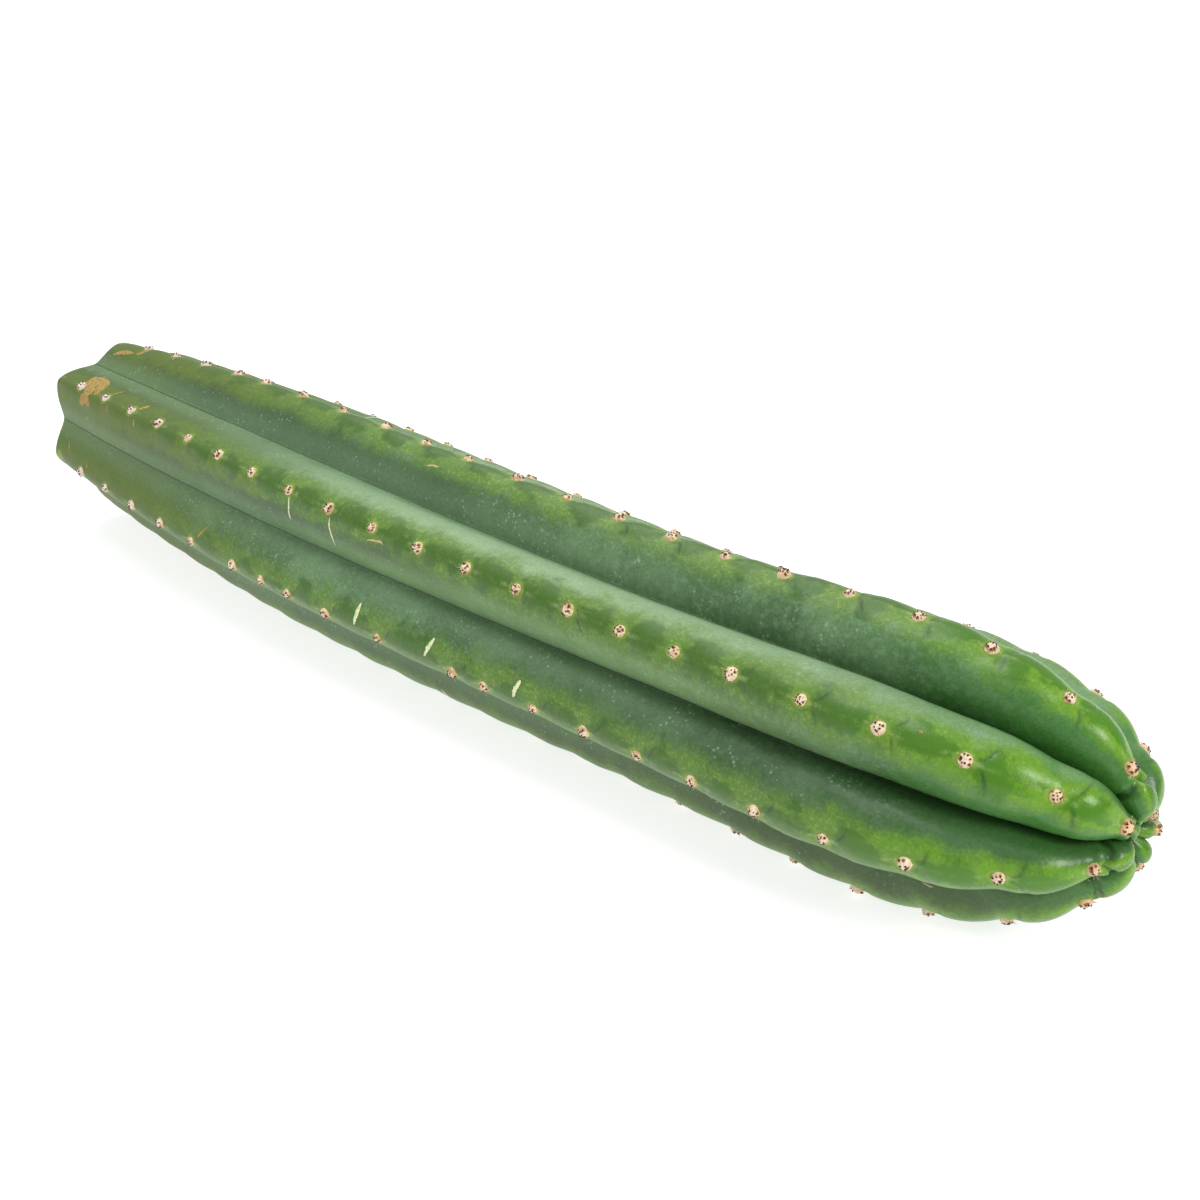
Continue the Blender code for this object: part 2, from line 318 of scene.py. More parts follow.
def columnTable(name):  # what is the same all along a column; the first and last are the same furrow
    perRib, ribs = stem["columnsPerRib"], stem["ribs"]
    step = np.arange(ribs * perRib + 1)
    rib = step // perRib
    even = (step - rib * perRib) / (perRib / 2) - 1
    across = even - stem["crowding"] * np.sin(2 * math.pi * even) / (2 * math.pi)
    seamRib = 4  # the seam lies in the furrow between the two ribs underneath
    place = rib + across / 2 + seamRib

    def betweenRibs(values):
        return np.interp(place % ribs, np.arange(ribs + 1), np.array(values + values[:1]))

    return makeTable(
        name,
        {
            "angle": np.radians(90 + place * 360 / ribs + betweenRibs(stem["lean"])),
            "crownTurn": np.radians(np.interp(place % ribs, *np.array(stem["crownTurn"]).T)),
            "across": across,
            "rib": (rib + seamRib) % ribs,
            "reachCut": betweenRibs(stem["reachAtCut"]) - 1,
            "reachTip": betweenRibs(stem["reachAtShoulder"]) - 1,
            "mapAround": (place - seamRib + 0.5) / ribs,
        },
    )


def phaseTable(name, travel):  # rows go ring by ring and rib by rib; a whole phase is at an areole
    count = np.interp(travel, walkTravel, walkCount)
    along = outline(travel)[0] / stem["length"]
    spacing = smoothThrough(areoles["spacing"], along)
    phases, gaps, drifts = [], [], []
    for rib in range(stem["ribs"]):
        known = areoleCounts(rib)
        marks = np.concatenate([[known[0] - 3], known, [known[-1] + 3]])
        ordinals = np.concatenate([[-3], np.arange(len(known)), [len(known) + 2]])
        phases.append(np.interp(count, marks, ordinals))
        between = np.clip(np.searchsorted(marks, count) - 1, 0, len(marks) - 2)
        gaps.append(spacing * (np.diff(marks) / np.diff(ordinals))[between])
        drifts.append(smoothThrough(areoles["drift"][rib], along))
    columns = {"phase": phases, "gap": gaps, "drift": drifts}
    return makeTable(name, {label: np.ravel(values, "F") for label, values in columns.items()})


# Grows every shell of the stem: it lays rings of points along it, pushes them out to the ribs and in to
# the furrows, bends the whole, then raises humps, presses creases and seats, and lays the stem down.
def ribbedShellTree():
    tree, given = newTree(
        "ribbedShell",
        {
            "Rings": ("Int", 100),
            "Columns": ("Int", 100),
            "Ribs": ("Int", 7),
            "Ring Table": ("Object", None),
            "Column Table": ("Object", None),
            "Phase Table": ("Object", None),
            "Length": ("Float", 0.45),
            "Bow": ("Float", 0.01),
            "Relief": ("Float", 1.0),
            "Crease Lead": ("Float", 0.0026),
            "Crease Slope": ("Float", 0.60),
            "Crease Width": ("Float", 0.0009),
            "Fold Depth": ("Float", 3.0),
            "Fold Reach": ("Float", 1.0),
            "Seat Radius": ("Float", 0.0023),
            "Unevenness": ("Float", 0.0007),
            "Uneven Scale": ("Float", 55.0),
            "Seed": ("Float", 3.0),
            "Tilt": ("Float", 0.0),
            "Move": ("Vector", None),
            "Floor": ("Float", 0.0003),
            "Material": ("Material", None),
        },
    )
    add = partial(addNode, tree)

    columns = add("Math ADD", given["Columns"], 1.0)
    grid = add(
        "MeshGrid", {"Size X": 1.0, "Size Y": 1.0, "Vertices X": given["Rings"], "Vertices Y": columns}
    )
    index = add("InputIndex")
    ring = add("Math FLOOR", add("Math DIVIDE", add("Math ADD", index, 0.5), columns))
    column = add("Math SUBTRACT", index, add("Math MULTIPLY", ring, columns))
    onRing = readTable(
        tree,
        given["Ring Table"],
        "crestX crestR furrowX furrowR fullness openness flank humpHeight humpWidth creaseDepth "
        "creaseReach seatDepth towardsCut towardsTip towardsCrown mapAlong shrink recess",
        ring,
    )
    onColumn = readTable(
        tree, given["Column Table"], "angle crownTurn across rib reachCut reachTip mapAround", column
    )
    ringAndRib = add("Math MULTIPLY_ADD", ring, given["Ribs"], onColumn["rib"])
    onRib = readTable(tree, given["Phase Table"], "phase gap drift", ringAndRib)

    aside = add("Math ABSOLUTE", onColumn["across"])
    rest = add("Math SUBTRACT", 1.0, add("Math POWER", aside, onRing["fullness"]), use_clamp=True)
    ribShare = add("Math POWER", rest, onRing["openness"])  # 1 on a crest, 0 in a furrow
    x = add("Mix FLOAT", {"Factor": ribShare, "A": onRing["furrowX"], "B": onRing["crestX"]})
    evenRadius = add("Mix FLOAT", {"Factor": ribShare, "A": onRing["furrowR"], "B": onRing["crestR"]})
    reachAtCut = add("Math MULTIPLY_ADD", onColumn["reachCut"], onRing["towardsCut"], 1.0)
    reach = add("Math MULTIPLY_ADD", onColumn["reachTip"], onRing["towardsTip"], reachAtCut)
    radius = add("Math MULTIPLY", add("Math MULTIPLY", evenRadius, reach), onRing["shrink"])
    along = add("Math DIVIDE", x, given["Length"])
    fromMiddle = add("Math MULTIPLY_ADD", along, 2.0, -1.0)
    bowShare = add("Math SUBTRACT", add("Math MULTIPLY", fromMiddle, fromMiddle), 1.0)
    bow = add("Math MULTIPLY", bowShare, given["Bow"])
    angle = add("Math MULTIPLY_ADD", onColumn["crownTurn"], onRing["towardsCrown"], onColumn["angle"])
    y = add("Math MULTIPLY_ADD", radius, add("Math COSINE", angle), bow)
    z = add("Math MULTIPLY", radius, add("Math SINE", angle))
    place = add("CombineXYZ", add("Math ADD", x, onRing["recess"]), y, z)
    sheet = add("FlipFaces", {"Mesh": grid})
    shape = add("SetPosition", {"Geometry": sheet, "Position": place})

    # Metres from the nearest areole towards the base, and from the crest to the side
    offset = add("Math SUBTRACT", onRib["phase"], add("Math ROUND", onRib["phase"]))
    baseward = add("Math MULTIPLY", offset, onRib["gap"])
    sideways = add("Math MULTIPLY", onColumn["across"], onRing["flank"])
    fromLine = add("Math SUBTRACT", sideways, onRib["drift"])  # the row of areoles wanders off the crest
    asideMetres = add("Math ABSOLUTE", fromLine)

    # A hump rises fast on the tip's side of each areole and sinks slowly to the next one
    growth = add("Math FRACT", add("Math MULTIPLY", onRib["phase"], -1.0))
    swell = add("Math SINE", add("Math MULTIPLY", add("Math POWER", growth, 0.8), math.pi))
    hump = add("Math POWER", swell, 1.4)
    humpHere = add(
        "Math MULTIPLY", add("Math SUBTRACT", hump, 0.4), add("Math POWER", ribShare, onRing["humpWidth"])
    )
    humpHeight = add("Math MULTIPLY", humpHere, onRing["humpHeight"])

    # A crease on the tip's side of each areole runs down both flanks and away towards the tip
    fromCrease = add(
        "Math MULTIPLY_ADD",
        asideMetres,
        given["Crease Slope"],
        add("Math ADD", baseward, given["Crease Lead"]),
    )
    inWidths = add("Math DIVIDE", fromCrease, given["Crease Width"])
    isLast = add("Math LESS_THAN", onRib["phase"], 0.5)
    reachHere = add(
        "Math MULTIPLY_ADD",
        add("Math MULTIPLY", isLast, given["Fold Reach"]),
        onRing["creaseReach"],
        onRing["creaseReach"],
    )
    inReaches = add("Math DIVIDE", asideMetres, reachHere)
    falling = add("Math MULTIPLY_ADD", inReaches, inReaches, add("Math MULTIPLY", inWidths, inWidths))
    crease = add("Math EXPONENT", add("Math MULTIPLY", falling, -1.0))
    foldDepth = add("Math MULTIPLY_ADD", isLast, given["Fold Depth"], 1.0)
    creaseDepth = add("Math MULTIPLY", add("Math MULTIPLY", crease, foldDepth), onRing["creaseDepth"])

    # A shallow seat holds each pad
    fromAreole = add("Math MULTIPLY_ADD", fromLine, fromLine, add("Math MULTIPLY", baseward, baseward))
    seatSize = add("Math MULTIPLY", given["Seat Radius"], given["Seat Radius"])
    seat = add("Math EXPONENT", add("Math MULTIPLY", add("Math DIVIDE", fromAreole, seatSize), -1.0))
    seatDepth = add("Math MULTIPLY", seat, onRing["seatDepth"])

    wander = add(
        "TexNoise",
        {"Vector": place, "W": given["Seed"], "Scale": given["Uneven Scale"], "Detail": 2.0},
        noise_dimensions="4D",
    )
    uneven = add("Math MULTIPLY", add("Math SUBTRACT", wander, 0.5), given["Unevenness"])
    raised = add(
        "Math SUBTRACT", add("Math ADD", humpHeight, uneven), add("Math ADD", creaseDepth, seatDepth)
    )
    relief = add("Math MULTIPLY", raised, given["Relief"])
    normal = add("InputNormal")
    outward = add("VectorMath SCALE", {"Vector": normal, "Scale": relief})
    relieved = add("SetPosition", {"Geometry": shape, "Offset": outward})

    # What the finishes read: where it is along the rib, where it is across it, and a flat map of the skin
    lengthwise = add("CombineXYZ", onRib["phase"], onRib["gap"], along)
    crosswise = add("CombineXYZ", aside, sideways, fromLine)
    flat = add("CombineXYZ", onRing["mapAlong"], onColumn["mapAround"], 0.0)
    stored = relieved
    onPoint = add("InputNamedAttribute", {"Name": "mapPoint"}, data_type="FLOAT_VECTOR")
    for label, kind, domain, value in (
        ("lengthwise", "FLOAT_VECTOR", "POINT", lengthwise),
        ("crosswise", "FLOAT_VECTOR", "POINT", crosswise),
        ("outward", "FLOAT", "POINT", onRing["shrink"]),
        ("mapPoint", "FLOAT_VECTOR", "POINT", flat),
        ("skinMap", "FLOAT2", "CORNER", onPoint),  # on corners, so that the map can end at the seam
    ):
        stored = add(
            "StoreNamedAttribute",
            {"Geometry": stored, "Name": label, "Value": value},
            data_type=kind,
            domain=domain,
        )
    stored = add("RemoveAttribute", {"Geometry": stored, "Name": "mapPoint"})
    sewn = add("MergeByDistance", {"Geometry": stored, "Distance": 1e-6})
    turn = add("CombineXYZ", 0.0, given["Tilt"], 0.0)
    laid = add("Transform", {"Geometry": sewn, "Rotation": turn, "Translation": given["Move"]})
    finish = finishPiece(tree, laid, given["Floor"], given["Material"])
    add("GroupOutput", finish)
    return tree


def finishPiece(tree, geometry, floor, material):  # flattens what would sink into the floor, and paints
    add = partial(addNode, tree)
    where = add("SeparateXYZ", add("InputPosition"))
    lifted = add("Math MAXIMUM", where.outputs["Z"], floor)
    onFloor = add("CombineXYZ", where.outputs["X"], where.outputs["Y"], lifted)
    resting = add("SetPosition", {"Geometry": geometry, "Position": onFloor})
    smooth = add("SetShadeSmooth", {"Geometry": resting})
    whole = add("RealizeInstances", {"Geometry": smooth})
    return add("SetMaterial", {"Geometry": whole, "Material": material})


def newMaterial(name):  # a material with its shader, ready for nodes
    material = bpy.data.materials.new(name)
    material.use_nodes = True
    return material, material.node_tree, material.node_tree.nodes["Principled BSDF"]


# Waxy skin: living cuticle under a thin blue-grey bloom of wax. The flanks keep the bloom, the crests
# are rubbed back to a glossier yellow green, and the furrows are darkest, partly by a line of painted shade.
waxyLook = {
    "crest": "#5b8130",
    "rubbed": "#375f18",
    "flank": "#43663b",
    "flankPale": "#66885e",
    # painted sheen on upward-facing flanks
    "paintedSheen": "#8eaa80",
    # painted light on the lower flanks
    "paintedLowerFlankLight": "#87a465",
    # painted shade underneath and low near the floor
    "paintedUnderShade": "#41562c",
    # painted shade on upward-facing flanks near the cut
    "paintedShadeOnTopNearCut": "#42551a",
    # painted shade in the lee of the next rib up and on the top rib's steep side
    "paintedShade": "#2f4a2a",
    "furrowBloom": "#7a9a72",
    "furrow": "#213a22",
    # a thin line of painted shade in the furrow
    "baseCrest": "#5c6f28",
    "baseFlank": "#566a26",
    "tipCrest": "#62940c",
    "tipRubbed": "#478208",
    "tipFlank": "#3e792a",
    "bloom": "#7d9c78",
    "scurf": "#a2c0a0",
    "straw": "#98a848",
    "paintedRidgeHighlight": "#b4c68c",
    # painted highlight along the crest's edge
    "halo": "#8fae3e",
    # painted shade in the creases
    "crease": "#1c3f1c",
    # Noise sizes: clouds of bloom, patches, the streaks' width, dabs, wipes and grain
    "clouds": 24 * millimetre,
    "patches": 9 * millimetre,
    "streaks": 3.2 * millimetre,
    "dabs": 2.4 * millimetre,
    "wipes": 2.4 * millimetre,
    "grain": 0.9 * millimetre,
    "pores": 0.45 * millimetre,
    "scurfSpacing": 1.6 * millimetre,
    "creaseLead": 3.4 * millimetre,  # how far tipward of an areole its crease starts
    "creaseWidth": 0.55 * millimetre,
    "creaseLength": 7.5 * millimetre,
    "creaseRelief": 0.0001,
    "relief": {"dabs": 0.00014, "patches": 0.00022, "pores": 0.000025},
}


def waxySkinMaterial():
    material, tree, shader = newMaterial("waxySkin")
    add, together = partial(addNode, tree), partial(multiplyShares, tree)
    look = waxyLook

    where = add("TexCoord").outputs["Object"]
    upward = add("SeparateXYZ", add("NewGeometry").outputs["Normal"])
    found = {}
    for label in ("lengthwise", "crosswise"):
        column = add("Attribute", attribute_name=label).outputs["Vector"]
        found[label] = add("SeparateXYZ", column).outputs
    phase, gap, along = found["lengthwise"]
    aside, sideways, fromLine = found["crosswise"]

    # Metres from the nearest areole, towards the base and to the side
    offset = add("Math SUBTRACT", phase, add("Math ROUND", phase))
    baseward = add("Math MULTIPLY", offset, gap)
    beside = add("Math ABSOLUTE", fromLine)
    apart = add(
        "Math SQRT", add("Math MULTIPLY_ADD", beside, beside, add("Math MULTIPLY", baseward, baseward))
    )
    # 0 at an areole and 1 at the next one tipward
    growth = add("Math FRACT", add("Math MULTIPLY", phase, -1.0))
    asideMetres = add("Math ABSOLUTE", sideways)

    # Streaks run from the crest down the flank and a little towards the base
    arc = add("Math MULTIPLY", along, stem["length"])
    slanted = add("Math MULTIPLY_ADD", asideMetres, 0.45, arc)
    streakPlace = add("CombineXYZ", slanted, add("Math MULTIPLY", sideways, 0.22), phase)
    wipePlace = add("CombineXYZ", add("Math MULTIPLY", arc, 0.3), sideways, 0.0)
    texture = {}
    for label, place, detail, roughness in (
        ("clouds", where, 2.0, 0.5),
        ("patches", where, 5.0, 0.62),
        ("streaks", streakPlace, 4.0, 0.62),
        ("dabs", where, 5.0, 0.70),
        ("grain", where, 3.0, 0.65),
        ("pores", where, 2.0, 0.5),
        ("wipes", wipePlace, 4.0, 0.5),
    ):
        texture[label] = add(
            "TexNoise",
            {"Vector": place, "Scale": 1 / look[label], "Detail": detail, "Roughness": roughness},
        )

    # The edge between crest and flank wanders with the patches and feathers out along the streaks
    warped = aside
    for label, amount in (("patches", 0.75), ("streaks", 0.40), ("dabs", 0.30)):
        warped = add("Math MULTIPLY_ADD", add("Math SUBTRACT", texture[label], 0.5), amount, warped)
    onCrest = add("MapRange SMOOTHSTEP", warped, 0.58, 0.16)
    toTip = add("MapRange SMOOTHSTEP", along, 0.80, 1.0)
    toBase = add("MapRange SMOOTHSTEP", along, 0.42, 0.08)

    # Painted light and shade, by which way a flank faces and how high it lies: a painted sheen on top of the
    # ribs at the side, painted light on their lower flanks, and painted shade in the lee of the next rib up,
    # underneath and low near the floor, on top near the cut, and on the steep side of the top rib towards the
    # cut
    upright = upward.outputs["Z"]
    aboveFloor = add("SeparateXYZ", where).outputs["Z"]
    paintedSheenOnTop = together(
        (upright, 0.78, 0.97), (aside, 0.12, 0.35), (aside, 0.95, 0.70), (along, 0.22, 0.52),
        (aboveFloor, 0.048, 0.058),
    )
    paintedLightOnLowerFlank = together(
        (upright, 0.15, -0.25, 0.0, 0.48), (aboveFloor, 0.036, 0.046), (along, 0.30, 0.50),
        (along, 0.90, 0.74),
    )
    paintedShade = together((aboveFloor, 0.056, 0.046, 0.0, 0.5), (upright, 0.15, 0.55), (along, 0.40, 0.70))
    paintedShadeOnTopRib = together(
        (aboveFloor, 0.050, 0.058, 0.0, 0.8), (upright, 0.86, 0.62), (along, 0.62, 0.48), (along, 0.06, 0.18)
    )
    paintedShadeNearFloor = together((upright, -0.12, -0.65, 0.0, 0.8), (aboveFloor, 0.044, 0.032))
    low = together((aboveFloor, 0.032, 0.008), (along, 0.15, 0.50))

    # Rubbed patches lie between one areole and the next
    swell = add("Math SINE", add("Math MULTIPLY", add("Math POWER", growth, 0.8), math.pi))
    rubbed = add("Math MULTIPLY_ADD", swell, 0.42, add("Math MULTIPLY", aside, -1.10))
    for label, amount in (("patches", 1.50), ("wipes", 0.60), ("streaks", 0.50)):
        rubbed = add("Math MULTIPLY_ADD", add("Math SUBTRACT", texture[label], 0.5), amount, rubbed)
    rubbed = add("MapRange SMOOTHSTEP", rubbed, 0.02, 0.26)
    speckle = add("MapRange SMOOTHSTEP", texture["grain"], 0.40, 0.62)
    rubbedShare = add("Math MULTIPLY", rubbed, add("Math MULTIPLY_ADD", speckle, 0.38, 0.55))

    # Scurf gathers in clouds of pale specks low on the flanks
    specks = add("TexVoronoi", {"Vector": where, "Scale": 1 / look["scurfSpacing"]})
    speck = together(
        (specks.outputs["Distance"], 0.34, 0.16), (texture["patches"], 0.50, 0.60), (aside, 0.34, 0.55),
        (along, 0.93, 0.80),
    )
    clouded = add("Math MULTIPLY_ADD", texture["clouds"], 0.6, add("Math MULTIPLY", texture["streaks"], 0.4))

    # A crease runs down both flanks from the tip's side of each areole; its dark colour is painted shade
    fromCrease = add("Math MULTIPLY_ADD", beside, 0.60, add("Math ADD", baseward, look["creaseLead"]))
    fromCrease = add("Math MULTIPLY_ADD", add("Math SUBTRACT", texture["patches"], 0.5), 0.004, fromCrease)
    inWidths = add("Math DIVIDE", fromCrease, look["creaseWidth"])
    crease = together(
        add("Math EXPONENT", add("Math MULTIPLY", add("Math MULTIPLY", inWidths, inWidths), -1.0)),
        (beside, look["creaseLength"], look["creaseLength"] * 0.5),
        (beside, 0.0004, 0.0024),
        (along, 0.15, 0.80, 0.20, 0.70),
        add(
            "Math MAXIMUM",
            add("MapRange SMOOTHSTEP", texture["clouds"], 0.49, 0.56),
            add("MapRange SMOOTHSTEP", along, 0.72, 0.86, 0.0, 0.75),
        ),
    )

    # A painted highlight along the crest's very edge, strongest by the areoles, and a halo round each of them
    paintedRidgeHighlight = together(
        (beside, 0.0012, 0.0002), (texture["dabs"], 0.42, 0.62), (apart, 0.0085, 0.0030, 0.12, 1.0)
    )
    ragged = add("Math MULTIPLY_ADD", add("Math SUBTRACT", texture["grain"], 0.5), 0.0018, apart)
    colour = paintLayers(
        tree,
        look["flank"],
        (look["flankPale"], (clouded, 0.44, 0.62)),
        (look["bloom"], (texture["dabs"], 0.44, 0.66, 0.0, 0.40)),
        (look["baseFlank"], toBase, 0.92),
        (look["tipFlank"], toTip, 0.85),
        # painted sheen on upward-facing flanks
        (look["paintedSheen"], paintedSheenOnTop, (along, 0.62, 1.0, 1.0, 0.40)),
        # painted shade on upward-facing flanks near the cut
        (look["paintedShadeOnTopNearCut"], toBase, (upright, 0.60, 0.95, 0.0, 0.8)),
        # painted shade in the lee of the next rib up
        (look["paintedShade"], paintedShade),
        # painted light on the lower flanks
        (look["paintedLowerFlankLight"], paintedLightOnLowerFlank),
        # painted shade on the steep side of the top rib towards the cut
        (look["paintedShade"], paintedShadeOnTopRib),
        # painted shade underneath and low near the floor
        (look["paintedUnderShade"], paintedShadeNearFloor),
        (look["paintedUnderShade"], low, 0.90),
        (look["furrowBloom"], (aside, 0.35, 0.85, 0.0, 0.45), (along, 0.85, 0.60)),
        (look["scurf"], speck, 0.45),
        (look["crest"], onCrest),
        (look["straw"], onCrest, (texture["dabs"], 0.50, 0.72, 0.0, 0.45)),
        (look["straw"], onCrest, (texture["grain"], 0.56, 0.68, 0.0, 0.45)),
        (look["baseCrest"], onCrest, toBase),
        (look["tipCrest"], onCrest, toTip),
        (look["rubbed"], rubbedShare, (along, 0.05, 0.30, 0.25, 1.0)),
        (look["tipRubbed"], rubbedShare, toTip, 0.8),
        # painted highlight along the crest's edge
        (look["paintedRidgeHighlight"], paintedRidgeHighlight, 0.35),
        (look["halo"], (ragged, 0.0033, 0.0020, 0.0, 0.60)),
        # painted shade in the creases
        (look["crease"], crease),
        # a thin line of painted shade in the furrow
        (look["furrow"], (aside, 0.965, 1.0, 0.0, 0.8)),
    )
    shade = add("MapRange SMOOTHSTEP", texture["grain"], 0.28, 0.72, 0.86, 1.12)
    colour = add("VectorMath SCALE", {"Vector": colour, "Scale": shade})
    tree.links.new(colour.outputs[0], shader.inputs["Base Color"])

    gloss = add("Math MULTIPLY_ADD", rubbed, 0.10, add("Math MULTIPLY", toTip, 0.20))
    rough = add("Math SUBTRACT", add("Math MULTIPLY_ADD", texture["grain"], 0.16, 0.42), gloss)
    rough = add("Math MULTIPLY_ADD", toBase, 0.15, rough)
    tree.links.new(rough.outputs[0], shader.inputs["Roughness"])

    height = add("Math MULTIPLY", crease, -look["creaseRelief"])
    for label, relief in look["relief"].items():
        height = add("Math MULTIPLY_ADD", texture[label], relief, height)
    raiseRelief(tree, shader, height)
    shader.inputs["IOR"].default_value = 1.42
    shader.inputs["Sheen Weight"].default_value = 0.02
    shader.inputs["Sheen Roughness"].default_value = 0.4
    shader.inputs["Sheen Tint"].default_value = linear("#dce8da")
    shader.inputs["Coat Weight"].default_value = 0.08
    shader.inputs["Coat Roughness"].default_value = 0.20
    return material


ribbedShell = ribbedShellTree()
tilt = math.atan2(
    (stem["radii"][2][1] - stem["radii"][-1][1]) * math.cos(math.pi / stem["ribs"]),
    (shoulderAt - bellyAt) * stem["length"],
)
columnTableMesh = columnTable("columns")
waxySkin = waxySkinMaterial()


def growShell(name, travel, shrink, recess, material, **changes):
    inputs = {
        "Rings": len(travel),
        "Columns": stem["ribs"] * stem["columnsPerRib"],
        "Ribs": stem["ribs"],
        "Ring Table": ringTable(name + "Rings", travel, shrink, recess),
        "Column Table": columnTableMesh,
        "Phase Table": phaseTable(name + "Phases", travel),
        "Length": stem["length"],
        "Bow": stem["bow"],
        "Fold Depth": areoles["lastFold"][0],
        "Fold Reach": areoles["lastFold"][1],
        "Tilt": tilt,
        "Material": material,
    }
    return growPiece(name, ribbedShell, {**inputs, **changes})


def corners(piece):
    points = np.array([vertex.co for vertex in piece.data.vertices])
    return Vector(points.min(axis=0)), Vector(points.max(axis=0))


# The rings run from the middle of the cut over its rim, and then evenly along the crest to the tip.
rim = (
    (0.0, 1.3),
    (0.4, 1.3),
    (0.8, 1.3),
    (0.945, 1.3),
    (0.955, 1.2),
    (0.962, 0.3),
    (0.975, 0.05),
    (0.99, 0.0),
)
evenTravel = np.interp(np.linspace(0, crestLength, stem["rings"]), walkArc, walkTravel)
skinTravel = np.concatenate([np.zeros(len(rim)), evenTravel])
skinShrink = np.concatenate([[step[0] for step in rim], np.ones(stem["rings"])])
skinRecess = np.concatenate([[step[1] * millimetre for step in rim], np.zeros(stem["rings"])])

trial = growShell("trial", skinTravel, skinShrink, skinRecess, waxySkin, Relief=0.0, Floor=-1.0)
trialLow, trialHigh = corners(trial)
trialMiddle = (trialLow + trialHigh) / 2
move = Vector((lowCorner.x - trialLow.x, middle.y - trialMiddle.y, middle.z - trialMiddle.z))
bpy.data.objects.remove(trial)
skin = growShell("skin", skinTravel, skinShrink, skinRecess, waxySkin, Move=move)
print("cut centre", [round(value, 5) for value in move])
print("skin corners", [[round(value, 5) for value in corner] for corner in corners(skin)])


# Stands things on the skin: the place, the turn (Z outwards, X towards the tip) and the outward direction
def standOnSkin(tree, mapPoint):
    add = partial(addNode, tree)
    surface = add("ObjectInfo", {"Object": skin}).outputs["Geometry"]
    skinMap = add("InputNamedAttribute", {"Name": "skinMap"}, data_type="FLOAT_VECTOR")
    position = add("InputPosition")
    normal = add("InputNormal")
    stepBack = add("VectorMath ADD", mapPoint, (-0.004, 0.0, 0.0))
    sampled = []
    for value, place in ((position, mapPoint), (normal, mapPoint), (position, stepBack)):
        feeds = {"Mesh": surface, "Value": value, "UV Map": skinMap, "Sample UV": place}
        sampled.append(add("SampleUVSurface", feeds, data_type="FLOAT_VECTOR"))
    here, outward, behind = sampled
    tipward = add("VectorMath SUBTRACT", here, behind)
    turn = add(
        "AxesToRotation",
        {"Primary Axis": outward, "Secondary Axis": tipward},
        primary_axis="Z",
        secondary_axis="X",
    )
    return here, turn, outward


areolePad = {
    "Radius": 0.00185,
    "Height": 0.00170,
    "Segments": 14,
    "Rings": 8,
    "Grain": 0.00045,  # size of a tuft of the felt
    "Grain Depth": 0.00104,
}


def areoleTable():  # one point for each areole: its place on the map, size, age and a number of its own
    rows = []
    for rib in range(stem["ribs"]):
        counts = areoleCounts(rib)
        if counts[0] > 1:
            counts = np.concatenate([[counts[0] - 1], counts])  # a young one hidden in the crown
        for number, count in enumerate(counts):
            arc = np.interp(-count, -walkCount, walkArc)
            size = 0.95 + 0.10 * math.sin(2.4 * number + 1.7 * rib)
            young = min((crestLength - arc) / 0.012, 1)
            along = np.interp(arc, walkArc, outline(walkTravel)[0]) / stem["length"]
            drift = float(smoothThrough(areoles["drift"][rib], along))
            across = drift / (2 * np.interp(arc, walkArc, walkFlank)) * min((crestLength - arc) / 0.02, 1)
            around = ((rib - stem["ribs"] / 2) % stem["ribs"] + across) / stem["ribs"]
            rows.append((arc / crestLength, around, size * (0.45 + 0.55 * young), along, 7.0 * rib + number))
    mapAlong, mapAround, size, age, own = np.array(rows).T
    points = [(u, v, 0.0) for u, v in zip(mapAlong, mapAround)]
    return helperMesh("areolePlaces", points, columns={"size": size, "age": age, "own": own})


# Felt pads: a flattened round body stands on the skin at each place, and grain roughens it
def padTree():
    tree, given = newTree(
        "areolePads",
        {
            "Places": ("Object", None),
            "Radius": ("Float", 0.0017),
            "Height": ("Float", 0.0006),
            "Segments": ("Int", 18),
            "Rings": ("Int", 8),
            "Grain": ("Float", 0.0004),
            "Grain Depth": ("Float", 0.0002),
            "Floor": ("Float", 0.0001),
            "Material": ("Material", None),
        },
    )
    add = partial(addNode, tree)
    places = add("ObjectInfo", {"Object": given["Places"]}).outputs["Geometry"]
    mapPoint = add("InputPosition")
    here, turn, _ = standOnSkin(tree, mapPoint)
    size = add("InputNamedAttribute", {"Name": "size"})
    turned = add(
        "StoreNamedAttribute", {"Geometry": places, "Name": "turn", "Value": turn}, data_type="QUATERNION"
    )
    placed = add("SetPosition", {"Geometry": turned, "Position": here})
    ball = add("MeshUVSphere", {"Segments": given["Segments"], "Rings": given["Rings"], "Radius": 1.0})
    flat = add("CombineXYZ", given["Radius"], given["Radius"], given["Height"])
    lens = add("Transform", {"Geometry": ball, "Scale": flat})
    storedTurn = add("InputNamedAttribute", {"Name": "turn"}, data_type="QUATERNION")
    stood = add(
        "InstanceOnPoints", {"Points": placed, "Instance": lens, "Rotation": storedTurn, "Scale": size}
    )
    whole = add("RealizeInstances", {"Geometry": stood})
    frequency = add("Math DIVIDE", 1.0, given["Grain"])
    place = add("InputPosition")
    tufts = add("TexNoise", {"Vector": place, "Scale": frequency, "Detail": 1.5, "Roughness": 0.6})
    proud = add("Math SUBTRACT", tufts, 0.45)
    depth = add("Math MULTIPLY", proud, given["Grain Depth"])
    normal = add("InputNormal")
    push = add("VectorMath SCALE", {"Vector": normal, "Scale": depth})
    rough = add("SetPosition", {"Geometry": whole, "Offset": push})
    add("GroupOutput", finishPiece(tree, rough, given["Floor"], given["Material"]))
    return tree


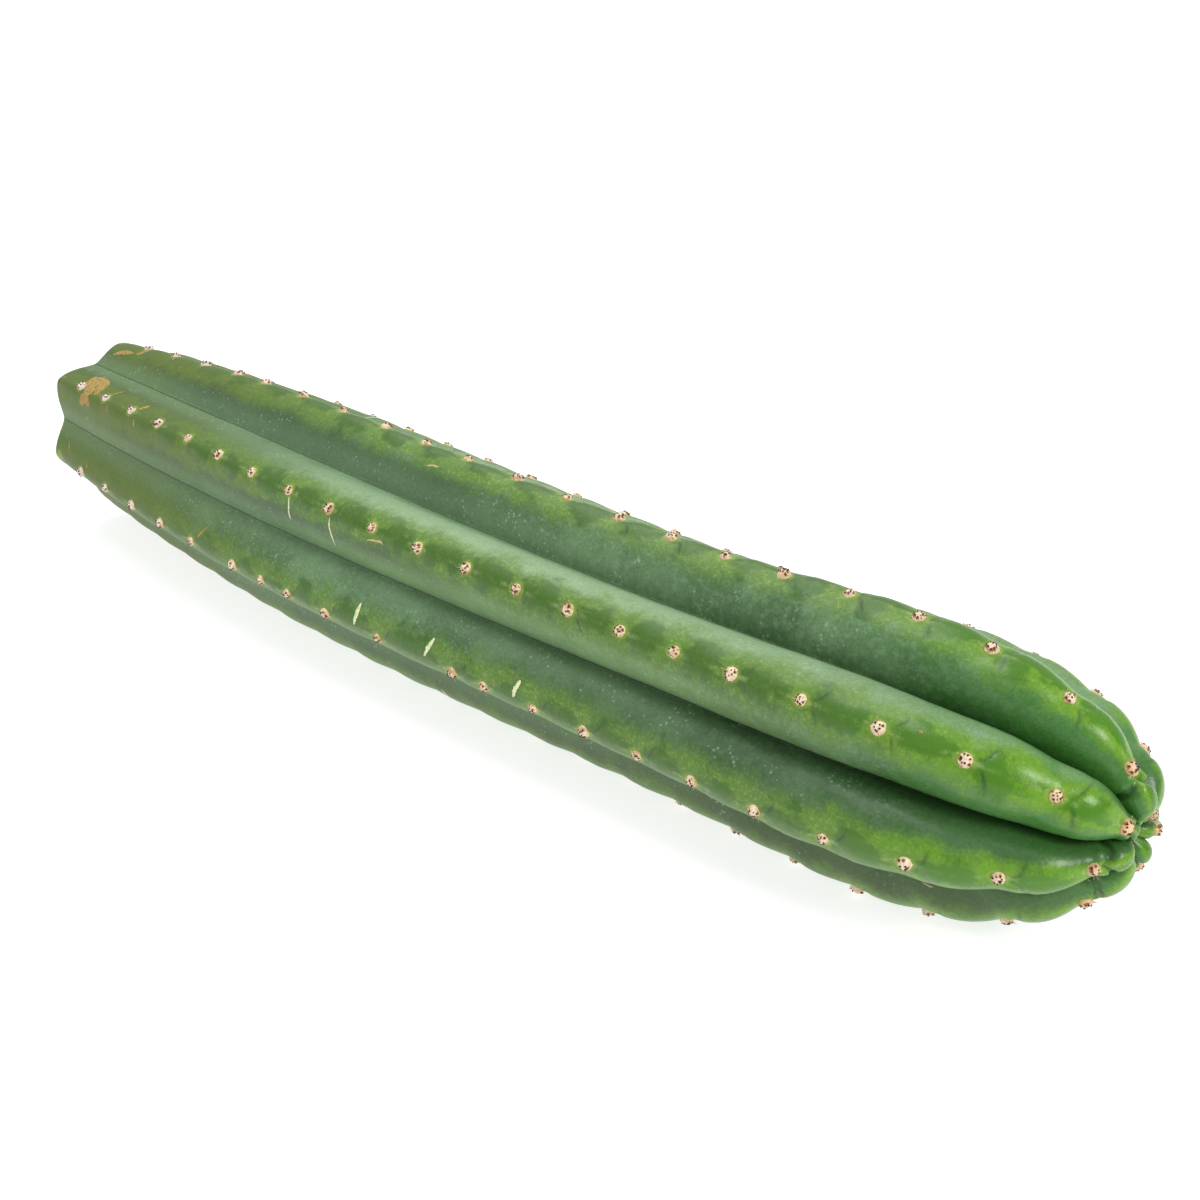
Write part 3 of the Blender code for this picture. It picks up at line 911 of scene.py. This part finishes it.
# Bristles: every thin thing that grows on an areole, such as wool, spine stubs and loose spines. They
# stand in a ring about each place and lean outwards from its middle.
def bristleTree():
    tree, given = newTree(
        "bristles",
        {
            "Places": ("Object", None),
            "Amount": ("Int", 5),
            "Share": ("Float", 1.0),
            "Inner Radius": ("Float", 0.0004),
            "Outer Radius": ("Float", 0.0010),
            "Dome Radius": ("Float", 0.0017),
            "Dome Height": ("Float", 0.0006),
            "Least Lean": ("Float", 0.0),
            "Most Lean": ("Float", 0.5),
            "Shortest": ("Float", 0.0004),
            "Longest": ("Float", 0.0008),
            "Thickness": ("Float", 0.0003),
            "Taper": ("Float", 0.5),
            "Sides": ("Int", 5),
            "Curl": ("Float", 0.0),
            "Seed": ("Int", 1),
            "Floor": ("Float", 0.0001),
            "Material": ("Material", None),
        },
    )
    add = partial(addNode, tree)

    # What varies from one bristle to the next: every draw has a seed of its own
    draws = {}
    for own, label, low, high in (
        (1, "turn", -0.35, 0.35),
        (2, "radius", given["Inner Radius"], given["Outer Radius"]),
        (3, "lean", given["Least Lean"], given["Most Lean"]),
        (4, "thickness", 0.8, 1.2),
        (5, "length", given["Shortest"], given["Longest"]),
        (7, "keep", 0.0, 1.0),
    ):
        seed = add("Math ADD", given["Seed"], own)
        draws[label] = add("RandomValue", {"Min": low, "Max": high, "Seed": seed})

    places = add("ObjectInfo", {"Object": given["Places"]}).outputs["Geometry"]
    many = add("DuplicateElements", {"Geometry": places, "Amount": given["Amount"]}, domain="POINT")
    here, turn, outward = standOnSkin(tree, add("InputPosition"))
    size = add("InputNamedAttribute", {"Name": "size"})
    step = add(
        "Math DIVIDE", add("Math ADD", many.outputs["Duplicate Index"], draws["turn"]), given["Amount"]
    )
    own = add("InputNamedAttribute", {"Name": "own"})
    around = add("Math ADD", add("Math MULTIPLY", step, 2 * math.pi), add("Math MULTIPLY", own, 2.39996))
    radius = add("Math MULTIPLY", draws["radius"], size)
    domeRadius = add("Math MULTIPLY", given["Dome Radius"], size)
    inDome = add("Math DIVIDE", radius, domeRadius)
    domeShare = add(
        "Math SQRT", add("Math SUBTRACT", 1.0, add("Math MULTIPLY", inDome, inDome), use_clamp=True)
    )
    height = add("Math MULTIPLY", domeShare, add("Math MULTIPLY", given["Dome Height"], size))
    local = add(
        "CombineXYZ",
        add("Math MULTIPLY", radius, add("Math COSINE", around)),
        add("Math MULTIPLY", radius, add("Math SINE", around)),
        add("Math MULTIPLY", height, 0.8),
    )
    spread = add("RotateVector", {"Vector": local, "Rotation": turn})
    root = add("VectorMath ADD", here, spread)
    leaning = add("CombineXYZ", 0.0, draws["lean"], around)
    leaningTurn = add("EulerToRotation", {"Euler": leaning})
    stance = add("RotateRotation", {"Rotation": turn, "Rotate By": leaningTurn}, rotation_space="LOCAL")
    thinner = add("Math MULTIPLY", size, draws["thickness"])
    thickness = add("Math MULTIPLY", given["Thickness"], thinner)
    length = add("Math MULTIPLY", draws["length"], size)
    scale = add("CombineXYZ", thickness, thickness, length)
    stored = many.outputs["Geometry"]
    for label, kind, value in (
        ("stance", "QUATERNION", stance),
        ("scale", "FLOAT_VECTOR", scale),
        ("root", "FLOAT_VECTOR", root),
        ("keep", "FLOAT", draws["keep"]),
    ):
        stored = add(
            "StoreNamedAttribute", {"Geometry": stored, "Name": label, "Value": value}, data_type=kind
        )
    read = {}
    for label, kind in (
        ("keep", "FLOAT"),
        ("root", "FLOAT_VECTOR"),
        ("scale", "FLOAT_VECTOR"),
        ("stance", "QUATERNION"),
    ):
        read[label] = add("InputNamedAttribute", {"Name": label}, data_type=kind)
    spare = add("Compare", {"A": read["keep"], "B": given["Share"]}, operation="GREATER_THAN")
    kept = add("DeleteGeometry", {"Geometry": stored, "Selection": spare})
    placed = add("SetPosition", {"Geometry": kept, "Position": read["root"]})
    cone = add(
        "MeshCone",
        {
            "Vertices": given["Sides"],
            "Side Segments": 3,
            "Radius Top": given["Taper"],
            "Radius Bottom": 1.0,
            "Depth": 1.0,
        },
    )
    upright = add("SeparateXYZ", add("InputPosition")).outputs["Z"]
    shaft = add(
        "StoreNamedAttribute", {"Geometry": cone.outputs["Mesh"], "Name": "shaft", "Value": upright}
    )
    bend = add("Math MULTIPLY", add("Math MULTIPLY", upright, upright), given["Curl"])
    bent = add("SetPosition", {"Geometry": shaft, "Offset": add("CombineXYZ", bend, 0.0, 0.0)})
    stood = add(
        "InstanceOnPoints",
        {"Points": placed, "Instance": bent, "Rotation": read["stance"], "Scale": read["scale"]},
    )
    whole = add("RealizeInstances", {"Geometry": stood})
    add("GroupOutput", finishPiece(tree, whole, given["Floor"], given["Material"]))
    return tree


# Areole felt: short dense wool, dry and matt, cream going to tan, with brown where a spine stands in it
feltLook = {
    "wool": "#f6e2c2",
    "tan": "#c4925c",
    "young": "#eac79a",
    "old": "#f8e9e0",
    "shade": "#9a6840",
    "tuftSize": 0.4 * millimetre,
    "stainSize": 1.6 * millimetre,
    "relief": 0.00025,
}


def areoleFeltMaterial():
    material, tree, shader = newMaterial("areoleFelt")
    add = partial(addNode, tree)
    look = feltLook
    where = add("TexCoord").outputs["Object"]
    age = add("Attribute", attribute_name="age").outputs["Fac"]
    tufts = add(
        "TexNoise", {"Vector": where, "Scale": 1 / look["tuftSize"], "Detail": 3.0, "Roughness": 0.7}
    )
    broad = add("TexNoise", {"Vector": where, "Scale": 1 / look["stainSize"]})

    midAged = multiplyShares(tree, (age, 0.85, 0.65), (age, 0.15, 0.40))
    grown = paintLayers(
        tree,
        look["wool"],
        (look["old"], (age, 0.30, 0.05)),
        (look["young"], (age, 0.94, 1.0)),
        (look["tan"], add("Math MULTIPLY_ADD", midAged, 0.5, 0.3), (broad, 0.44, 0.62)),
        (look["shade"], (tufts, 0.46, 0.30, 0.0, 0.75)),
    )
    tree.links.new(grown.outputs[2], shader.inputs["Base Color"])
    raiseRelief(tree, shader, add("Math MULTIPLY", tufts, look["relief"]))
    shader.inputs["Roughness"].default_value = 0.95
    shader.inputs["Specular IOR Level"].default_value = 0.15
    shader.inputs["Sheen Weight"].default_value = 0.3
    shader.inputs["Sheen Roughness"].default_value = 0.6
    return material


# Horn, felt stains and cork share one way of colouring: two tones mixed by grain, and for spines a third
# towards the end of the shaft, with a bump from the same grain
def twoToneMaterial(name, look):
    material, tree, shader = newMaterial(name)
    add = partial(addNode, tree)
    where = add("TexCoord").outputs["Object"]
    grain = add("TexNoise", {"Vector": where, "Scale": 1 / look["grain"], "Detail": 4.0, "Roughness": 0.65})
    layers = [(look["light"], (grain, 0.36, 0.64))]
    if "end" in look:
        shaft = add("Attribute", attribute_name="shaft").outputs["Fac"]
        layers.append((look["end"], (shaft, *look["endFrom"])))
    colour = paintLayers(tree, look["dark"], *layers)
    tree.links.new(colour.outputs[2], shader.inputs["Base Color"])
    raiseRelief(tree, shader, add("Math MULTIPLY", grain, look["relief"]))
    shader.inputs["Roughness"].default_value = look["roughness"]
    return material


finishes = {
    # Spine horn: the dense brown keratin-like wood of a spine, broken off short, so the ends are dark
    "spineHorn": {"dark": "#5a2418", "light": "#7c3a22", "end": "#2a100c", "endFrom": (0.45, 0.8),
                  "grain": 0.5 * millimetre, "relief": 0.00003, "roughness": 0.5},
    # Spine collar: felt stained brown round the foot of each spine
    "stainedFelt": {"dark": "#84502c", "light": "#a87246", "grain": 0.4 * millimetre, "relief": 0.0001,
                    "roughness": 0.9},
    # Loose spine: thin dry horn, red-brown with a straw tip
    "dryHorn": {"dark": "#9c4f34", "light": "#b5714c", "end": "#d9b184", "endFrom": (0.3, 0.9),
                "grain": 0.6 * millimetre, "relief": 0.00002, "roughness": 0.55},
    # Cork: dead tan skin over an old wound, rough and dry, with a darker crumbled grain
    "driedCork": {"dark": "#8d753a", "light": "#bf9f5c", "grain": 0.9 * millimetre, "relief": 0.0002,
                  "roughness": 0.85},
    # Healed scratch: pale skin grown over a thin cut
    "healedSkin": {"dark": "#c6d193", "light": "#eef0c8", "grain": 0.8 * millimetre, "relief": 0.0001,
                   "roughness": 0.6},
    # Straw scar: a thin dry line on the crest
    "strawScar": {"dark": "#b59a62", "light": "#d6c58c", "grain": 0.7 * millimetre, "relief": 0.0001,
                  "roughness": 0.75},
}
materials = {name: twoToneMaterial(name, look) for name, look in finishes.items()}
materials["areoleFelt"] = areoleFeltMaterial()

areolePlaces = areoleTable()
padInputs = {**areolePad, "Places": areolePlaces, "Material": materials["areoleFelt"]}
pads = growPiece("areolePads", padTree(), padInputs)
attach(pads, "root")

# What grows out of the pads: broken stubs in a ring and in the middle, thin spines that lie loose, and
# wool round the rim. The same seed puts a collar at the foot of every stub.
growths = {
    "spineStubs": {"Amount": 8, "Inner Radius": 0.00060, "Outer Radius": 0.00155, "Most Lean": 0.35,
                   "Shortest": 0.00035, "Longest": 0.00065, "Thickness": 0.00031, "Taper": 0.75, "Sides": 7,
                   "Seed": 11, "Material": "spineHorn", "slot": "spine"},
    "spineCollars": {"Amount": 8, "Inner Radius": 0.00060, "Outer Radius": 0.00155, "Most Lean": 0.35,
                     "Shortest": 0.00016, "Longest": 0.00022, "Thickness": 0.00056, "Taper": 0.7, "Sides": 8,
                     "Seed": 11, "Material": "stainedFelt", "slot": "areole_felt"},
    "middleStubs": {"Amount": 1, "Share": 0.6, "Inner Radius": 0.0, "Outer Radius": 0.0003, "Most Lean": 0.5,
                    "Shortest": 0.0004, "Longest": 0.0008, "Thickness": 0.00028, "Taper": 0.7, "Sides": 7,
                    "Seed": 17, "Material": "spineHorn", "slot": "spine"},
    "looseSpines": {"Amount": 6, "Share": 0.50, "Inner Radius": 0.0012, "Outer Radius": 0.0016,
                    "Least Lean": 1.05, "Most Lean": 1.45, "Shortest": 0.0008, "Longest": 0.0017,
                    "Thickness": 0.00014, "Taper": 0.3, "Sides": 5, "Seed": 29, "Material": "dryHorn",
                    "slot": "spine"},
    "areoleWool": {"Amount": 34, "Inner Radius": 0.0012, "Outer Radius": 0.00185, "Least Lean": 0.6,
                   "Most Lean": 1.45, "Shortest": 0.0003, "Longest": 0.0007, "Thickness": 0.00006,
                   "Taper": 0.25, "Sides": 3, "Curl": 0.25, "Seed": 23, "Material": "areoleFelt",
                   "slot": "areole_felt"},
}
bristles = bristleTree()
for name, growth in growths.items():
    inputs = {label: value for label, value in growth.items() if label != "slot"}
    inputs["Material"] = materials[growth["Material"]]
    inputs["Places"] = areolePlaces
    inputs["Dome Radius"] = areolePad["Radius"]
    inputs["Dome Height"] = areolePad["Height"]
    piece = growPiece(name, bristles, inputs)
    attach(piece, "root")

# Scars. Each stroke is (rib, points, width, finish): the points are millimetres along the crest from the
# cut and millimetres to the side of the crest, and a stroke is thickest in its middle.
strokes = (
    (1, ((17, -9), (20, -6), (25, -3), (28, 1), (31, 4)), 6.6, "driedCork"),
    (1, ((17, -8), (22, -8.5), (27, -7.5), (32, -4), (33, -1)), 6.0, "driedCork"),
    (1, ((22, 5), (25, 2), (28, -1), (30, -5)), 6.0, "driedCork"),
    (0, ((6, 8.6), (11, 6.4), (15, 5.4), (20, 5)), 3.2, "driedCork"),
    (0, ((22, 5.2), (25, 3), (25.5, 0), (24.5, -3)), 3.4, "driedCork"),
    (0, ((50, 3), (47, 0), (44, -1.5)), 1.3, "driedCork"),
    (0, ((47, 0), (43, -4.5)), 1.0, "driedCork"),
    (1, ((42.2, -4), (43.5, -6), (45, -8.5)), 1.0, "driedCork"),
    (1, ((46, -0.5), (47, 1), (47.8, 3)), 0.9, "driedCork"),
    (1, ((65.4, -3.8), (67, -5.6), (68.5, -8)), 1.9, "driedCork"),
    (1, ((68.6, 0), (69.2, 1.5), (69, 3.4)), 1.0, "driedCork"),
    (2, ((10, -9.5), (12, -6.5), (14.5, -4)), 0.9, "driedCork"),
    (2, ((30, -6.5), (31, -4), (31.2, -1.8)), 0.7, "driedCork"),
    (2, ((121, -2.6), (122.5, -5), (126, -9)), 1.0, "driedCork"),
    (1, ((173.1, 1.4), (173.4, 4.5), (173.0, 8), (173.3, 11.5)), 0.95, "healedSkin"),
    (1, ((195.5, 2.0), (195.2, 6), (195.7, 10), (195.4, 15.0)), 0.95, "healedSkin"),
    (1, ((213.8, 6.2), (215.5, 4.9), (218.5, 4.4), (221.5, 3.9), (223, 5)), 0.9, "strawScar"),
    (2, ((214.6, -8.6), (214.0, -4.5), (213.2, -0.2)), 1.9, "healedSkin"),
    (2, ((249.8, -8), (248.4, -4.2), (246.8, -0.4)), 1.8, "healedSkin"),
    (2, ((287.2, -6.8), (286.2, -3.6), (285.2, 0)), 1.9, "healedSkin"),
    (0, ((213, 7.6), (216, 6.6), (219.5, 6.2)), 0.8, "strawScar"),
    (0, ((256, -3.4), (261, -3.8), (267, -3.0)), 0.8, "strawScar"),
    (3, ((420.5, -14), (422.4, -13.3), (424.6, -12.8)), 0.6, "strawScar"),
    (1, ((412.0, -2.6), (412.6, -2.5), (413.2, -2.6)), 0.9, "driedCork"),
    (3, ((96, 5), (104, 6.4), (113, 6)), 1.3, "driedCork"),
    (3, ((232, -7), (233, -3), (232, 1)), 1.2, "healedSkin"),
    (4, ((158, 6), (160, 9), (159, 13)), 1.5, "healedSkin"),
    (4, ((300, -4), (303, -8)), 0.9, "strawScar"),
    (5, ((26, -3), (30, 0), (36, 1.5)), 3.0, "driedCork"),
    (5, ((188, 4), (190, 9), (189, 13)), 1.4, "healedSkin"),
    (5, ((341, -3), (348, -5)), 0.8, "strawScar"),
    (6, ((52, 2), (56, 5), (58, 9)), 1.6, "driedCork"),
    (6, ((262, -5), (270, -6), (279, -5)), 1.0, "strawScar"),
    (6, ((140, 1.5), (140.5, 6), (140, 11)), 0.8, "healedSkin"),
)
strokeShape = {
    "rings": 26,
    "sides": 14,
    "raise": 0.00013,  # how far the middle of a stroke stands above the skin
    "root": 0.00016,  # how far its edges lie below it
    "ragged": 0.55,  # how much the edge wanders, as a share of the width
}


def mapOf(rib, arc, side):  # millimetres on a rib as a point of the skin's map
    arc, side = arc * millimetre, side * millimetre
    across = side / (2 * np.interp(arc, walkArc, walkFlank))
    return arc / crestLength, ((rib - stem["ribs"] / 2) % stem["ribs"] + across) / stem["ribs"]


def strokePattern(name, chosen):  # tapered tubes laid out flat on the skin's map, with their lift as Z
    points, faces = [], []
    draws = np.random.default_rng(41)
    rings, sides = strokeShape["rings"], strokeShape["sides"]
    for rib, spine, width, _ in chosen:
        spine = np.array(spine, float)
        knots = np.linspace(0, 1, len(spine))
        t = (1 - np.cos(np.linspace(0, math.pi, rings))) / 2
        arc = smoothThrough(np.column_stack([knots, spine[:, 0]]), t)
        side = smoothThrough(np.column_stack([knots, spine[:, 1]]), t)
        heading = np.arctan2(np.gradient(side, t), np.gradient(arc, t))
        half = width / 2 * np.sin(np.pi * np.clip(t, 0, 1)) ** 0.55
        ragged = draws.normal(0, 1, (2, rings))
        ragged = (ragged + np.roll(ragged, 1, axis=1)) / 2 * strokeShape["ragged"] * 0.35
        first = len(points)
        for n in range(rings):
            for k in range(sides):
                turn = 2 * math.pi * k / sides
                reach = half[n] * (1 + ragged[int(math.cos(turn) > 0), n]) * math.cos(turn)
                edgeArc = arc[n] - reach * math.sin(heading[n])
                edgeSide = side[n] + reach * math.cos(heading[n])
                u, v = mapOf(rib, edgeArc, edgeSide)
                thick = strokeShape["raise"] + strokeShape["root"]
                lift = thick * math.sin(turn) * min(half[n] * 2.5, 1) - strokeShape["root"]
                points.append((u, v, lift))
        for n in range(rings - 1):
            for k in range(sides):
                a, b = first + n * sides + k, first + n * sides + (k + 1) % sides
                faces.append((a, b, b + sides, a + sides))
        faces.append(tuple(first + k for k in reversed(range(sides))))
        faces.append(tuple(first + (rings - 1) * sides + k for k in range(sides)))
    return helperMesh(name, points, faces)


# Drapes a flat pattern over the skin: X and Y are its place on the map, and Z its lift off the skin
def drapeTree():
    tree, given = newTree(
        "drapeOnSkin",
        {
            "Pattern": ("Object", None),
            "Grain": ("Float", 0.0008),
            "Grain Depth": ("Float", 0.00012),
            "Floor": ("Float", 0.0002),
            "Material": ("Material", None),
        },
    )
    add = partial(addNode, tree)
    pattern = add("ObjectInfo", {"Object": given["Pattern"]}).outputs["Geometry"]
    onMap = add("InputPosition")
    here, _, outward = standOnSkin(tree, onMap)
    lift = add("SeparateXYZ", onMap).outputs["Z"]
    frequency = add("Math DIVIDE", 1.0, given["Grain"])
    crumbs = add("TexNoise", {"Vector": here, "Scale": frequency, "Detail": 2.0})
    proud = add("Math SUBTRACT", crumbs, 0.5)
    total = add("Math MULTIPLY_ADD", proud, given["Grain Depth"], lift)
    push = add("VectorMath SCALE", {"Vector": outward, "Scale": total})
    place = add("VectorMath ADD", here, push)
    draped = add("SetPosition", {"Geometry": pattern, "Position": place})
    sewn = add("MergeByDistance", {"Geometry": draped, "Distance": 1e-6})
    add("GroupOutput", finishPiece(tree, sewn, given["Floor"], given["Material"]))
    return tree


drape = drapeTree()
for finish in ("driedCork", "healedSkin", "strawScar"):
    pattern = strokePattern(finish + "Pattern", [stroke for stroke in strokes if stroke[3] == finish])
    scars = growPiece(finish + "Scars", drape, {"Pattern": pattern, "Material": materials[finish]})
    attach(scars, "root")

# The cut face: flesh that has dried in a little, with a ring of wood round the pith
cutFace = {
    # (share of the rim's radius, millimetres in from the rim), from the middle out and back behind
    "profile": ((0, 1.15), (0.12, 1.12), (0.22, 1.05), (0.27, 0.85), (0.31, 0.8), (0.35, 0.95),
                (0.45, 1.08), (0.6, 1.1), (0.75, 1.02), (0.88, 0.85), (0.945, 0.6), (0.955, 0.8),
                (0.955, 2.4), (0.5, 2.4), (0, 2.4)),
    "flesh": "#b9c58e",
    "rimFlesh": "#8fae62",
    "pith": "#d8d7b4",
    "wood": "#a98f5c",
    "ring": 0.29,
    "ringWidth": 0.03,
    "fibre": 0.9 * millimetre,
    "stain": 7 * millimetre,
    "relief": 0.0003,
}


# Cut flesh: water-filled tissue sliced through, half dry, so it is matt with a wet shine in its grain
def cutFleshMaterial():
    material, tree, shader = newMaterial("cutFlesh")
    add = partial(addNode, tree)
    look = cutFace

    where = add("TexCoord").outputs["Object"]
    outward = add("Attribute", attribute_name="outward").outputs["Fac"]
    fibres = add("TexNoise", {"Vector": where, "Scale": 1 / look["fibre"], "Detail": 4.0, "Roughness": 0.7})
    broad = add("TexNoise", {"Vector": where, "Scale": 1 / look["stain"], "Detail": 2.0})
    fromRing = add("Math ABSOLUTE", add("Math SUBTRACT", outward, look["ring"]))
    colour = paintLayers(
        tree,
        look["flesh"],
        (look["rimFlesh"], (outward, 0.72, 0.95)),
        (look["pith"], (outward, look["ring"], look["ring"] - 0.08)),
        (look["wood"], (fromRing, look["ringWidth"], look["ringWidth"] / 3, 0.0, 0.8)),
        (look["wood"], (broad, 0.45, 0.7, 0.0, 0.3)),
        (look["pith"], (fibres, 0.55, 0.75, 0.0, 0.35)),
    )
    tree.links.new(colour.outputs[2], shader.inputs["Base Color"])
    wet = add("Math MULTIPLY_ADD", fibres, 0.35, 0.38)
    tree.links.new(wet.outputs[0], shader.inputs["Roughness"])
    raiseRelief(tree, shader, add("Math MULTIPLY", fibres, look["relief"]))
    return material


faceShrink, faceRecess = np.array(cutFace["profile"]).T
flesh = growShell(
    "cutFace",
    np.zeros(len(faceShrink)),
    faceShrink,
    faceRecess * millimetre,
    cutFleshMaterial(),
    Move=move,
    Unevenness=0.0006,
)
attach(flesh, "root")

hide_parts("stem")
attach(skin, "root")

# The camera looks down on the stem from past its growing tip
camera = bpy.data.objects.new("camera", bpy.data.cameras.new("camera"))
bpy.context.scene.collection.objects.link(camera)
camera.location = move + Vector((0.58043, -0.31550, 0.21519))
camera.rotation_euler = [math.radians(angle) for angle in (64.154, 0.862, 43.647)]
camera.data.lens = 46.617
bpy.context.scene.camera = camera

floorReach = 12  # metres each way
floorMesh = bpy.data.meshes.new("floor")
floorCorners = [(x * floorReach, y * floorReach, 0) for x, y in ((-1, -1), (1, -1), (1, 1), (-1, 1))]
floorMesh.from_pydata(floorCorners, [], [(0, 1, 2, 3)])
floor = bpy.data.objects.new("floor", floorMesh)
bpy.context.scene.collection.objects.link(floor)
paleFloor, _, floorShader = newMaterial("paleFloor")
floorShader.inputs["Base Color"].default_value = linear("#b4b4b4")
floorShader.inputs["Roughness"].default_value = 0.7
floorShader.inputs["Emission Color"].default_value = (1, 1, 1, 1)
floorShader.inputs["Emission Strength"].default_value = 0.78
floorMesh.materials.append(paleFloor)

# A pale studio: an even white surround, and soft boxes above, past the cut and past the growing tip
studio = {
    "surround": (0.46, 0.70),  # at the horizon and overhead
    "boxes": {
        "overhead": {"place": (-0.15, -0.15, 1.15), "size": 0.45, "power": 3.7},
        "cutward": {"place": (-0.50, 0.45, 1.05), "size": 0.80, "power": 3.7},
        "tipward": {"place": (1.10, -0.05, 0.80), "size": 0.35, "power": 7.0},
    },
}
bpy.context.scene.view_settings.view_transform = "Standard"
world = bpy.data.worlds.new("studio")
bpy.context.scene.world = world
world.use_nodes = True
sky = world.node_tree
direction = addNode(sky, "SeparateXYZ", addNode(sky, "TexCoord").outputs["Generated"])
brightness = addNode(sky, "MapRange LINEAR", direction.outputs["Z"], 0.0, 1.0, *studio["surround"])
sky.nodes["Background"].inputs["Color"].default_value = (1, 1, 1, 1)
sky.links.new(brightness.outputs[0], sky.nodes["Background"].inputs["Strength"])
for name, box in studio["boxes"].items():
    lamp = bpy.data.lights.new(name, "AREA")
    lamp.size = box["size"]
    lamp.energy = box["power"]
    softBox = bpy.data.objects.new(name, lamp)
    softBox.location = box["place"]
    softBox.rotation_euler = (-softBox.location).to_track_quat("-Z", "Y").to_euler()
    bpy.context.scene.collection.objects.link(softBox)

for helper in helpers:
    bpy.data.objects.remove(helper)
